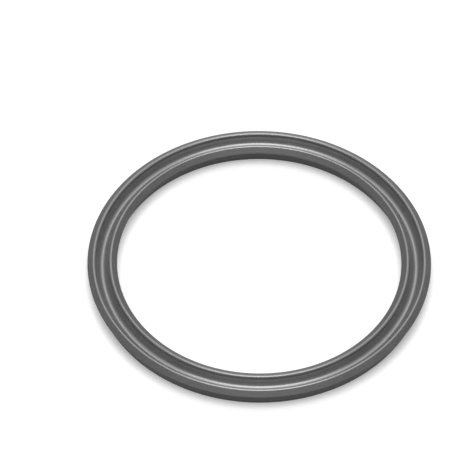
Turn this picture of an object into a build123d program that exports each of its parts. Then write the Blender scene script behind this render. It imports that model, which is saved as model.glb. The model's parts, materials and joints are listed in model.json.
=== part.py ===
from build123d import *
import os

# U-cup seal: one moulded rubber ring that seals between a rod and the bore around it.
# The origin is the centre of the flat heel face. +Z is the ring's axis and the lips point up it.
# Millimetres throughout.

# Nominal size
rod_diameter = 88.9
section_width = 6.35  # radial room between the rod and the bore
seal_height = 6.35

# Heel, the solid lower half
heel_height = 3.16  # from the heel face to the waist, where the lips begin
heel_clearance = 0.10  # on each side, between the guide land and the metal it faces
guide_land_height = 0.55  # the straight stretch just under the waist
heel_draft = 0.24  # how far the wall draws in between the guide land and the bevel
heel_bevel_width = 0.25
heel_bevel_height = 0.66

# Lips
lip_reach = 1.46  # how far a free lip stands out past the guide land
lip_face_width = 1.93  # from the sealing edge to the centre of the crest's rounding
lip_face_angle = 35.0  # below horizontal
crest_radius = 0.58

# Groove between the lips
groove_depth = 2.84  # from the crest to the root
root_radius = 1.30
mouth_depth = 0.99  # from the crest to the knee, where the wall leans in towards the root
mouth_wall_angle = 10.0  # from vertical

# Small roundings
heel_edge_radius = 0.10
heel_blend_radius = 0.40
waist_radius = 0.80
sealing_edge_radius = 0.05
knee_radius = 0.60

# Half-widths of the section, from its own middle line halfway between the rod and the bore
mean_radius = (rod_diameter + section_width) / 2
land_half_width = section_width / 2 - heel_clearance
bevel_half_width = land_half_width - heel_draft
heel_face_half_width = bevel_half_width - heel_bevel_width
sealing_edge_half_width = land_half_width + lip_reach
crest_half_width = sealing_edge_half_width - lip_face_width

# Heights above the heel face
land_foot_height = heel_height - guide_land_height
crest_centre_height = seal_height - crest_radius
knee_height = seal_height - mouth_depth
root_height = seal_height - groove_depth

section_plane = Plane(origin=(mean_radius, 0, 0), x_dir=(1, 0, 0), z_dir=(0, -1, 0))

with BuildPart() as seal_ring:
    with BuildSketch(section_plane):
        # The outer half of the section, then its mirror image
        with BuildLine():
            crest = CenterArc(
                (crest_half_width, crest_centre_height),
                crest_radius,
                start_angle=90 - lip_face_angle,
                arc_size=90 + lip_face_angle - mouth_wall_angle,
            )
            lip_face = PolarLine(
                crest @ 0,
                sealing_edge_half_width - (crest @ 0).X,
                angle=-lip_face_angle,
                length_mode=LengthMode.HORIZONTAL,
                mode=Mode.PRIVATE,
            )
            FilletPolyline(
                (0, 0),
                (heel_face_half_width, 0),
                (bevel_half_width, heel_bevel_height),
                (land_half_width, land_foot_height),
                (land_half_width, heel_height),
                lip_face @ 1,
                lip_face @ 0,
                radius=[
                    heel_edge_radius,
                    heel_blend_radius,
                    heel_blend_radius,
                    waist_radius,
                    sealing_edge_radius,
                ],
            )
            mouth_wall = PolarLine(
                crest @ 1,
                (crest @ 1).Y - knee_height,
                angle=-90 - mouth_wall_angle,
                length_mode=LengthMode.VERTICAL,
                mode=Mode.PRIVATE,
            )
            # The groove wall runs from the knee to touch the root's circle on its lower side
            groove_wall = ConstrainedLines(
                CenterArc((0, root_height + root_radius), root_radius, 0, 360, mode=Mode.PRIVATE),
                mouth_wall @ 1,
                selector=lambda lines: lines.sort_by(Axis.Y)[0],
                mode=Mode.PRIVATE,
            )
            FilletPolyline(crest @ 1, mouth_wall @ 1, groove_wall @ 0, radius=knee_radius)
            RadiusArc(groove_wall @ 0, (0, root_height), root_radius)
            mirror(about=Plane.YZ)
        make_face()
    revolve(axis=Axis.Z)

seal_ring.part.label = "seal_ring"

os.makedirs("parts", exist_ok=True)
export_step(seal_ring.part, "parts/seal_ring.step")
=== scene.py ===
import json
import math

import bpy
import numpy as np
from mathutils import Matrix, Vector


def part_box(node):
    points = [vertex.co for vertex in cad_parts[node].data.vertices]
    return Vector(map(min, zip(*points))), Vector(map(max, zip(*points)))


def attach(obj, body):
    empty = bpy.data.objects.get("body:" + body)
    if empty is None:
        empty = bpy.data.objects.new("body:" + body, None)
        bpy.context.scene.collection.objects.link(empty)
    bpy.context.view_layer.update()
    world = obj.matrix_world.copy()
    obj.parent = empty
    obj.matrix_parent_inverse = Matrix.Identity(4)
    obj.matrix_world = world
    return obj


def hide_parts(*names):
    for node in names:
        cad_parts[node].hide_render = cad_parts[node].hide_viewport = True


# A U-cup seal lying on a pale floor, lips up, seen from above.
# Metres and radians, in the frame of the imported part: its origin is the centre of the heel face, and
# +Z is the ring's axis.

MM = 0.001
DEGREE = math.radians(1)
FULL_TURN = math.tau
QUARTER_TURN = FULL_TURN / 4

# The section's own sizes. Its middle line, its land and its height come from the frame.
GUIDE_LAND_HEIGHT = 0.55 * MM
HEEL_HEIGHT = 3.16 * MM
HEEL_DRAFT = 0.24 * MM
HEEL_BEVEL_WIDTH = 0.25 * MM
HEEL_BEVEL_HEIGHT = 0.66 * MM
LIP_REACH = 1.46 * MM
LIP_FACE_WIDTH = 1.93 * MM
LIP_FACE_ANGLE = 35 * DEGREE
CREST_RADIUS = 0.58 * MM
GROOVE_DEPTH = 2.84 * MM
ROOT_RADIUS = 1.30 * MM
MOUTH_DEPTH = 0.99 * MM
MOUTH_WALL_ANGLE = 10 * DEGREE
HEEL_EDGE_RADIUS = 0.10 * MM
HEEL_BLEND_RADIUS = 0.40 * MM
WAIST_RADIUS = 0.80 * MM
SEALING_EDGE_RADIUS = 0.05 * MM
KNEE_RADIUS = 0.60 * MM

# How finely the ring is divided, and how its map is laid out
SEGMENTS = 540
LONGEST_ARC_STEP = 8 * DEGREE
LEAST_ARC_STEPS = 3
MAP_STRIPS = 3
MAP_MARGIN = 0.01  # share of a strip that is left empty below, and as much above

# The rubber's detail: its size along the surface, and its depth as moulded and where a knife has cut.
# Patches are where the marks are at their full depth.
MOTTLE_SIZE = 6.2 * MM
PATCH_SIZE = 11 * MM
GRAIN_SIZE = 0.55 * MM
MOULDED_GRAIN_DEPTH = 0.05 * MM
CUT_GRAIN_DEPTH = 0.012 * MM
MARK_SIZE = 0.19 * MM
MOULDED_MARK_DEPTH = 0.03 * MM
CUT_MARK_DEPTH = 0.036 * MM
FAINTEST_CUT_MARKS = 0.55  # share of that depth which cut marks keep outside the patches
NOISE_RANGE = (0.3, 0.7)  # a noise's values seldom lie outside it
NOISE_MIDDLE = 0.5

# The rubber's colours, and the least and most of the pale one that a trimmed face shows. The grain has
# a share in the mottle of the dark ones and of the roughness.
DARK_RUBBER = (0.035, 0.035, 0.036, 1)
LIGHT_RUBBER = (0.082, 0.082, 0.083, 1)
CUT_RUBBER = (0.2, 0.2, 0.2, 1)
LEAST_CUT_SHARE = 0.10
MOST_CUT_SHARE = 0.26
GRAIN_SHARE = 0.45
SMOOTHEST = 0.38
ROUGHEST = 0.58

# The studio. Between them, the lamps and the world light a level surface so that its colour renders
# about as it is written. A lamp's lean is from overhead towards the camera.
KEY_STRENGTH = 2.2
KEY_LEAN = 7 * DEGREE
BACK_STRENGTH = 0.6
BACK_LEAN = -32 * DEGREE
LAMP_WIDTH = 40 * DEGREE
WORLD_LIGHT = 0.13
WHITE = (1, 1, 1, 1)
FLOOR_HALF_WIDTH = 10
FLOOR_SHADE = 0.80
FLOOR_SPECKLE = 0.02
FLOOR_SPECKLE_SIZE = 1.4 * MM
FLOOR_GLOW = 0.33

# The camera: where it aims, from which way, and how long its lens is
CAMERA_ELEVATION = 50.39 * DEGREE
CAMERA_DISTANCE = 1.6
CAMERA_LENS_MM = 420.8
AIM_RIGHT = -10.383 * MM
AIM_UP = 14.309 * MM


def heading(vector):
    return math.atan2(vector[1], vector[0])


def direction(angle):
    return np.array((math.cos(angle), math.sin(angle)))


def rounded(centre, radius, start, turn):
    """Points along an arc of the section, each with its outward normal.

    The normal starts at the angle start and turns by turn. A hollow has a negative radius.
    """
    steps = max(LEAST_ARC_STEPS, math.ceil(abs(turn) / LONGEST_ARC_STEP))
    normals = [direction(start + turn * step / steps) for step in range(steps + 1)]
    return [(centre + radius * normal, normal) for normal in normals]


def rounded_corner(before, corner, after, radius):
    """The arc that rounds off a corner of the section."""
    into, out = corner - before, after - corner
    turn = math.remainder(heading(out) - heading(into), FULL_TURN)
    start = heading(into) - QUARTER_TURN
    signed_radius = math.copysign(radius, turn)
    first = corner - direction(heading(into)) * radius * math.tan(abs(turn) / 2)
    return rounded(first - signed_radius * direction(start), signed_radius, start, turn)


def crest_centre(land, height):
    return np.array((land + LIP_REACH - LIP_FACE_WIDTH, height - CREST_RADIUS))


def lip_face(land, height):
    """The ends of the outer lip's flat face, at the crest's rounding and at the sealing edge."""
    top = crest_centre(land, height) + CREST_RADIUS * direction(QUARTER_TURN - LIP_FACE_ANGLE)
    across = land + LIP_REACH - top[0]
    return top, top + across * np.array((1, -math.tan(LIP_FACE_ANGLE)))


def half_section(land, height):
    """The outer half of the section, from the middle of the heel face round to the bottom of the groove.

    land is half the section's width over its guide lands.
    """
    bevel = land - HEEL_DRAFT
    heel_face = bevel - HEEL_BEVEL_WIDTH
    crest = crest_centre(land, height)
    crest_start = QUARTER_TURN - LIP_FACE_ANGLE
    crest_end = FULL_TURN / 2 - MOUTH_WALL_ANGLE
    face_top, sealing_edge = lip_face(land, height)

    wall_top = crest + CREST_RADIUS * direction(crest_end)
    knee_drop = wall_top[1] - (height - MOUTH_DEPTH)
    knee = wall_top - knee_drop * np.array((math.tan(MOUTH_WALL_ANGLE), 1))

    # The wall below the knee touches the root's circle on its lower side
    root = np.array((0, height - GROOVE_DEPTH + ROOT_RADIUS))
    to_root = root - knee
    root_start = heading(to_root) - math.acos(ROOT_RADIUS / np.linalg.norm(to_root))
    root_start %= FULL_TURN
    wall_foot = root - ROOT_RADIUS * direction(root_start)

    outline = np.array(
        (
            (0, 0),
            (heel_face, 0),
            (bevel, HEEL_BEVEL_HEIGHT),
            (land, HEEL_HEIGHT - GUIDE_LAND_HEIGHT),
            (land, HEEL_HEIGHT),
            sealing_edge,
            face_top,
        )
    )
    radii = (HEEL_EDGE_RADIUS, HEEL_BLEND_RADIUS, HEEL_BLEND_RADIUS, WAIST_RADIUS, SEALING_EDGE_RADIUS)

    section = [(outline[0], direction(-QUARTER_TURN))]
    for before, corner, after, radius in zip(outline, outline[1:], outline[2:], radii, strict=False):
        section += rounded_corner(before, corner, after, radius)
    section += rounded(crest, CREST_RADIUS, crest_start, crest_end - crest_start)
    section += rounded_corner(wall_top, knee, wall_foot, KNEE_RADIUS)
    section += rounded(root, -ROOT_RADIUS, root_start, QUARTER_TURN - root_start)
    return section


def whole_section(land, height):
    """The closed section as two arrays, points and outward normals. The inner half mirrors the outer."""
    outer = half_section(land, height)
    inner = [(point * (-1, 1), normal * (-1, 1)) for point, normal in outer[-2:0:-1]]
    points, normals = zip(*outer, *inner, strict=True)
    return np.array(points), np.array(normals)


def turned(across, along, cos, sin):
    """Points or normals of the section, turned about Z to every segment of the ring."""
    return np.stack(np.broadcast_arrays(across * cos, across * sin, along), axis=-1).reshape(-1, 3)


def strip_map(points, segment, step):
    """The map corners of each face, given its segment of the ring and its step round the section.

    The ring is cut into strips, one above the other. Its segments follow each other along a strip, and
    the steps of the section go up it.
    """
    lengths = np.linalg.norm(np.roll(points, -1, axis=0) - points, axis=1)
    up = MAP_MARGIN + np.concatenate(((0,), np.cumsum(lengths))) / lengths.sum() * (1 - 2 * MAP_MARGIN)
    per_strip = SEGMENTS // MAP_STRIPS
    strip, place = segment // per_strip, segment % per_strip
    left, right = place / per_strip, (place + 1) / per_strip
    low, high = (strip + up[step]) / MAP_STRIPS, (strip + up[step + 1]) / MAP_STRIPS
    return np.stack((left, low, right, low, right, high, left, high), axis=1)


def revolved(name, mean_radius, points, normals):
    """A ring: the section turned about Z, with the section's exact normals and a map of long strips."""
    angle = np.arange(SEGMENTS) / SEGMENTS * FULL_TURN
    cos, sin = np.cos(angle)[:, None], np.sin(angle)[:, None]
    places = turned(mean_radius + points[:, 0], points[:, 1], cos, sin)
    facing = turned(normals[:, 0], normals[:, 1], cos, sin)

    count = len(points)
    segment, step = (grid.ravel() for grid in np.indices((SEGMENTS, count)))
    here, ahead = segment * count, (segment + 1) % SEGMENTS * count
    next_step = (step + 1) % count
    faces = np.stack((here + step, ahead + step, ahead + next_step, here + next_step), axis=1)
    mesh = bpy.data.meshes.new(name)
    mesh.from_pydata(places.tolist(), [], faces.tolist())
    mesh.shade_smooth()
    mesh.normals_split_custom_set_from_vertices(facing.tolist())
    corners = strip_map(points, segment, step).astype(np.float32)
    mesh.uv_layers.new(name="OFBake").uv.foreach_set("vector", corners.ravel())

    piece = bpy.data.objects.new(name, mesh)
    bpy.context.scene.collection.objects.link(piece)
    return piece


class Nodes:
    """Short calls for building the nodes of a material or a world."""

    def __init__(self, owner):
        owner.use_nodes = True
        self.tree = owner.node_tree
        self.tree.nodes.clear()

    def add(self, kind, inputs=None, **settings):
        """A new node. Each input is given the output that it links to, or a constant."""
        node = self.tree.nodes.new("ShaderNode" + kind)
        for key, value in settings.items():
            setattr(node, key, value)
        for key, value in (inputs or {}).items():
            if isinstance(value, bpy.types.NodeSocket):
                self.tree.links.new(value, node.inputs[key])
            else:
                node.inputs[key].default_value = value
        return node

    def math(self, operation, *values):
        return self.add("Math", dict(enumerate(values)), operation=operation).outputs[0]

    def noise(self, where, size, detail=2.0, roughness=0.5):
        inputs = {"Vector": where, "Scale": 1 / size, "Detail": detail, "Roughness": roughness}
        return self.add("TexNoise", inputs).outputs["Fac"]

    def between(self, share, low, high):
        """low where the share is 0, high where it is 1."""
        return self.add("MapRange", {"Value": share, "To Min": low, "To Max": high}).outputs["Result"]

    def varied(self, noise, low, high):
        """From low to high, as the noise goes over its usual range."""
        inputs = {"Value": noise, "To Min": low, "To Max": high}
        inputs["From Min"], inputs["From Max"] = NOISE_RANGE
        return self.add("MapRange", inputs).outputs["Result"]

    def relief(self, noise, depth):
        """The height that a noise gives, as much above the surface as below it."""
        return self.math("MULTIPLY", self.math("SUBTRACT", noise, NOISE_MIDDLE), depth)

    def mixed(self, amount, a, b):
        """The colour between a and b. A colour mix's sockets share their names, so they go by number."""
        return self.add("Mix", {0: amount, 6: a, 7: b}, data_type="RGBA").outputs[2]

    def seen(self):
        """1 for a ray from the camera, a reflection or glass, and 0 for one that only carries light."""
        ray = self.add("LightPath").outputs
        indirectly = self.math("MAXIMUM", ray["Is Glossy Ray"], ray["Is Transmission Ray"])
        return self.math("MAXIMUM", ray["Is Camera Ray"], indirectly)


def rubber(mean_radius, face_top, sealing_edge):
    """Dark grey moulded rubber with a soft mottle, a fine grain and patches of the mould's turning marks.

    The crests and the groove come from polished steel and have a sheen, which the heel lacks. The flat
    lip faces, from face_top to sealing_edge, are trimmed with a knife, which leaves them without a sheen,
    a little paler, and finely scored all round.
    """
    material = bpy.data.materials.new("satin_rubber")
    n = Nodes(material)
    where = n.add("TexCoord").outputs["Object"]
    xyz = n.add("SeparateXYZ", {"Vector": where}).outputs
    level = n.add("CombineXYZ", {"X": xyz["X"], "Y": xyz["Y"]}).outputs["Vector"]
    radius = n.add("VectorMath", {0: level}, operation="LENGTH").outputs["Value"]
    round_the_axis = n.add("CombineXYZ", {"X": radius, "Y": xyz["Z"]}).outputs["Vector"]
    half_width = n.math("ABSOLUTE", n.math("SUBTRACT", radius, mean_radius))

    past_crest = n.math("GREATER_THAN", half_width, face_top[0])
    above_edge = n.math("GREATER_THAN", xyz["Z"], sealing_edge[1] - SEALING_EDGE_RADIUS / 2)
    above_heel = n.math("GREATER_THAN", xyz["Z"], HEEL_HEIGHT)
    trimmed = n.math("MULTIPLY", past_crest, above_edge)
    polished = n.math("MULTIPLY", n.math("SUBTRACT", 1.0, past_crest), above_heel)

    cloud = n.noise(where, MOTTLE_SIZE, detail=5.0, roughness=0.55)
    grain = n.noise(where, GRAIN_SIZE, detail=3.0, roughness=0.6)
    marks = n.noise(round_the_axis, MARK_SIZE, roughness=0.6)
    patches = n.varied(n.noise(where, PATCH_SIZE), 0.0, 1.0)

    cloudy = n.math("MULTIPLY", cloud, 1 - GRAIN_SHARE)
    mottle = n.math("ADD", cloudy, n.math("MULTIPLY", grain, GRAIN_SHARE))
    moulded = n.mixed(n.varied(mottle, 0.0, 1.0), DARK_RUBBER, LIGHT_RUBBER)
    cut_share = n.math("MULTIPLY", trimmed, n.varied(marks, LEAST_CUT_SHARE, MOST_CUT_SHARE))
    colour = n.mixed(cut_share, moulded, CUT_RUBBER)

    marked = n.math("MAXIMUM", patches, n.math("MULTIPLY", trimmed, FAINTEST_CUT_MARKS))
    mark_depth = n.math("MULTIPLY", marked, n.between(trimmed, MOULDED_MARK_DEPTH, CUT_MARK_DEPTH))
    mark_height = n.relief(marks, mark_depth)
    grain_height = n.relief(grain, n.between(trimmed, MOULDED_GRAIN_DEPTH, CUT_GRAIN_DEPTH))
    bump = n.add("Bump", {"Height": n.math("ADD", grain_height, mark_height), "Distance": 1.0})
    shader = n.add(
        "BsdfPrincipled",
        {
            "Base Color": colour,
            "Roughness": n.varied(mottle, SMOOTHEST, ROUGHEST),
            "IOR": 1.5,
            "Specular IOR Level": 0.4,
            "Normal": bump.outputs["Normal"],
            "Coat Weight": polished,
            "Coat Roughness": 0.28,
            "Coat IOR": 1.95,
        },
    )
    n.add("OutputMaterial", {"Surface": shader.outputs[0]})
    return material


def pale_floor():
    """A matt floor that is white to the camera and in reflections, and still takes the ring's shadow."""
    material = bpy.data.materials.new("pale_floor")
    n = Nodes(material)
    speck = n.noise(n.add("TexCoord").outputs["Object"], FLOOR_SPECKLE_SIZE, detail=3.0)
    shade = n.varied(speck, FLOOR_SHADE, FLOOR_SHADE + FLOOR_SPECKLE)
    grey = n.add("CombineColor", {0: shade, 1: shade, 2: shade}).outputs[0]
    matt = n.add("BsdfDiffuse", {"Color": grey})
    glow = n.add("Emission", {"Strength": n.math("MULTIPLY", n.seen(), FLOOR_GLOW)})
    both = n.add("AddShader", {0: matt.outputs[0], 1: glow.outputs[0]})
    n.add("OutputMaterial", {"Surface": both.outputs[0]})
    return material


def make_floor():
    mesh = bpy.data.meshes.new("floor")
    sides = ((-1, -1), (1, -1), (1, 1), (-1, 1))
    corners = [(x * FLOOR_HALF_WIDTH, y * FLOOR_HALF_WIDTH, 0) for x, y in sides]
    mesh.from_pydata(corners, [], [(0, 1, 2, 3)])
    mesh.materials.append(pale_floor())
    floor = bpy.data.objects.new("floor", mesh)
    bpy.context.scene.collection.objects.link(floor)


def add_soft_light(name, strength, lean):
    """A wide round light far off, which leans by lean from overhead towards the camera."""
    light = bpy.data.lights.new(name, "SUN")
    light.energy = strength
    light.angle = LAMP_WIDTH
    lamp = bpy.data.objects.new(name, light)
    lamp.rotation_euler = (lean, 0, 0)
    bpy.context.scene.collection.objects.link(lamp)


def light_the_studio():
    """A key light almost overhead, a weaker one behind the ring, and a white world that lights little."""
    add_soft_light("key_light", KEY_STRENGTH, KEY_LEAN)
    add_soft_light("back_light", BACK_STRENGTH, BACK_LEAN)

    world = bpy.data.worlds.new("studio")
    bpy.context.scene.world = world
    n = Nodes(world)
    background = n.add("Background", {"Color": WHITE, "Strength": n.between(n.seen(), WORLD_LIGHT, 1.0)})
    n.add("OutputWorld", {"Surface": background.outputs[0]})


def make_camera():
    """The picture's view: no turn to either side, and the ring right of the middle and below it."""
    ahead = Vector((0, math.cos(CAMERA_ELEVATION), -math.sin(CAMERA_ELEVATION)))
    up = Vector((0, math.sin(CAMERA_ELEVATION), math.cos(CAMERA_ELEVATION)))
    camera = bpy.data.objects.new("camera", bpy.data.cameras.new("camera"))
    camera.data.lens = CAMERA_LENS_MM
    camera.data.clip_start, camera.data.clip_end = 0.1, 100
    camera.location = Vector((AIM_RIGHT, 0, 0)) + AIM_UP * up - CAMERA_DISTANCE * ahead
    camera.rotation_euler = (QUARTER_TURN - CAMERA_ELEVATION, 0, 0)
    bpy.context.scene.collection.objects.link(camera)
    bpy.context.scene.camera = camera


def make_ring(frame):
    """The moulded ring, in place of the plain solid."""
    mounts = frame["record"]["mounts"]
    guides = {mount["name"]: mount["dims"]["r_mm"] * MM for mount in mounts if "r_mm" in mount["dims"]}
    mean_radius = (guides["bore_guide"] + guides["rod_guide"]) / 2
    land = (guides["bore_guide"] - guides["rod_guide"]) / 2
    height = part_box("seal_ring")[1][2]
    ring = revolved("moulded_ring", mean_radius, *whole_section(land, height))
    ring.data.materials.append(rubber(mean_radius, *lip_face(land, height)))
    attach(ring, "root")
    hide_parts("seal_ring")


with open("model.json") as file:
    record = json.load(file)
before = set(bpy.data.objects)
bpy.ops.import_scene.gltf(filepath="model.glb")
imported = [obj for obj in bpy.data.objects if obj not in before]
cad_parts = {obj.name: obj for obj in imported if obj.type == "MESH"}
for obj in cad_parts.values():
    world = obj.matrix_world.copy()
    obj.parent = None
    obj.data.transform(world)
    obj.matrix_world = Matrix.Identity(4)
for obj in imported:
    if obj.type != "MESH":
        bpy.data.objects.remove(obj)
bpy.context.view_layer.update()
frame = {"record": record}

bpy.context.scene.view_settings.view_transform = "Standard"
make_camera()
light_the_studio()
make_floor()
make_ring(frame)
